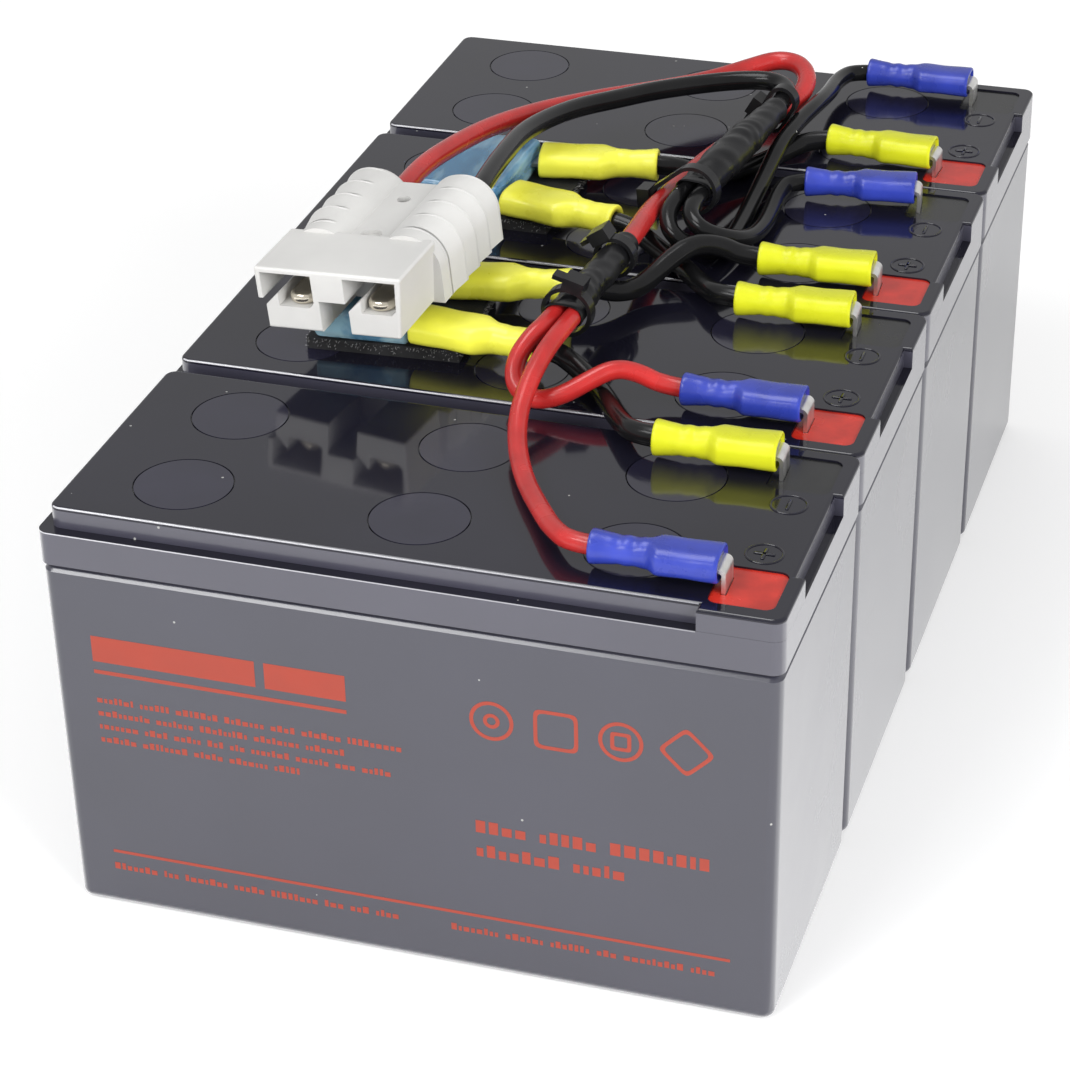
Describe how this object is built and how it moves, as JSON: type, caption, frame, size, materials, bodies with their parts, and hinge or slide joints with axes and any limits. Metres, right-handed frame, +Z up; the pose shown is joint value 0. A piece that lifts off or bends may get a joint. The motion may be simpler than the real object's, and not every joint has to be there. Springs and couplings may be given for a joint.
{
  "type": "ups battery pack",
  "caption": "Row of sealed lead-acid batteries with stepped black lids, joined by a fused wiring harness that ends in a grey two-pole power connector.",
  "frame": {"origin": "centre of the batteries' footprint, on the surface they stand on", "axes": "+X along a battery towards its tabs, +Y from the front battery to the rear one, +Z up"},
  "size_m": [0.151, 0.2604, 0.1232],
  "materials": {
    "case_black": "satin moulded",
    "lid_black": "polished moulded",
    "plate_lead": "dull",
    "tab_metal": "tin plated",
    "vent_black": "satin",
    "valve_rubber": "matte",
    "seal_red": "cast resin",
    "seal_black": "cast resin",
    "tape_black": "foam",
    "sleeve_blue": "satin",
    "sleeve_yellow": "satin",
    "receptacle_metal": "tin plated",
    "fuse_blue": "translucent",
    "fuse_metal": "zinc",
    "pad_fabric": "woven loops",
    "connector_grey": "satin moulded",
    "contact_silver": "silver plated",
    "spring_steel": "bright",
    "wire_red": "semi gloss",
    "wire_black": "semi gloss",
    "shrink_black": "wrinkled",
    "splice_metal": "tin plated",
    "tie_black": "satin"
  },
  "bodies": {
    "root": {"battery_1_case": "case_black", "battery_1_lid": "lid_black", "battery_1_plates": "plate_lead", "battery_1_vent_covers": "vent_black", "battery_1_tabs": "tab_metal", "battery_2_case": "case_black", "battery_2_lid": "lid_black", "battery_2_plates": "plate_lead", "battery_2_vent_covers": "vent_black", "battery_2_tabs": "tab_metal", "battery_3_case": "case_black", "battery_3_lid": "lid_black", "battery_3_plates": "plate_lead", "battery_3_vent_covers": "vent_black", "battery_3_tabs": "tab_metal", "battery_4_case": "case_black", "battery_4_lid": "lid_black", "battery_4_plates": "plate_lead", "battery_4_vent_covers": "vent_black", "battery_4_tabs": "tab_metal", "valve_plugs": "valve_rubber", "positive_seals": "seal_red", "negative_seals": "seal_black", "joining_tapes": "tape_black", "blue_sleeve_1": "sleeve_blue", "yellow_sleeve_1": "sleeve_yellow", "blue_sleeve_2": "sleeve_blue", "yellow_sleeve_2": "sleeve_yellow", "blue_sleeve_3": "sleeve_blue", "yellow_sleeve_3": "sleeve_yellow", "blue_sleeve_4": "sleeve_blue", "yellow_sleeve_4": "sleeve_yellow", "battery_receptacles": "receptacle_metal", "front_fuse_body": "fuse_blue", "front_fuse_element": "fuse_metal", "front_fuse_sleeves": "sleeve_yellow", "rear_fuse_body": "fuse_blue", "rear_fuse_element": "fuse_metal", "rear_fuse_sleeves": "sleeve_yellow", "fuse_pads": "pad_fabric", "fuse_receptacles": "receptacle_metal", "connector_housing": "connector_grey", "connector_contacts": "contact_silver", "connector_springs": "spring_steel", "rear_splice_sleeve": "shrink_black", "mid_splice_sleeve": "shrink_black", "splice_barrels": "splice_metal", "red_lead": "wire_red", "black_lead": "wire_black", "red_branch_1": "wire_red", "red_branch_2": "wire_red", "black_branch_3": "wire_black", "black_branch_4": "wire_black", "jumper_1": "wire_black", "jumper_2": "wire_black", "jumper_3": "wire_black", "jumper_4": "wire_black", "cable_ties": "tie_black"}
  },
  "joints": []
}
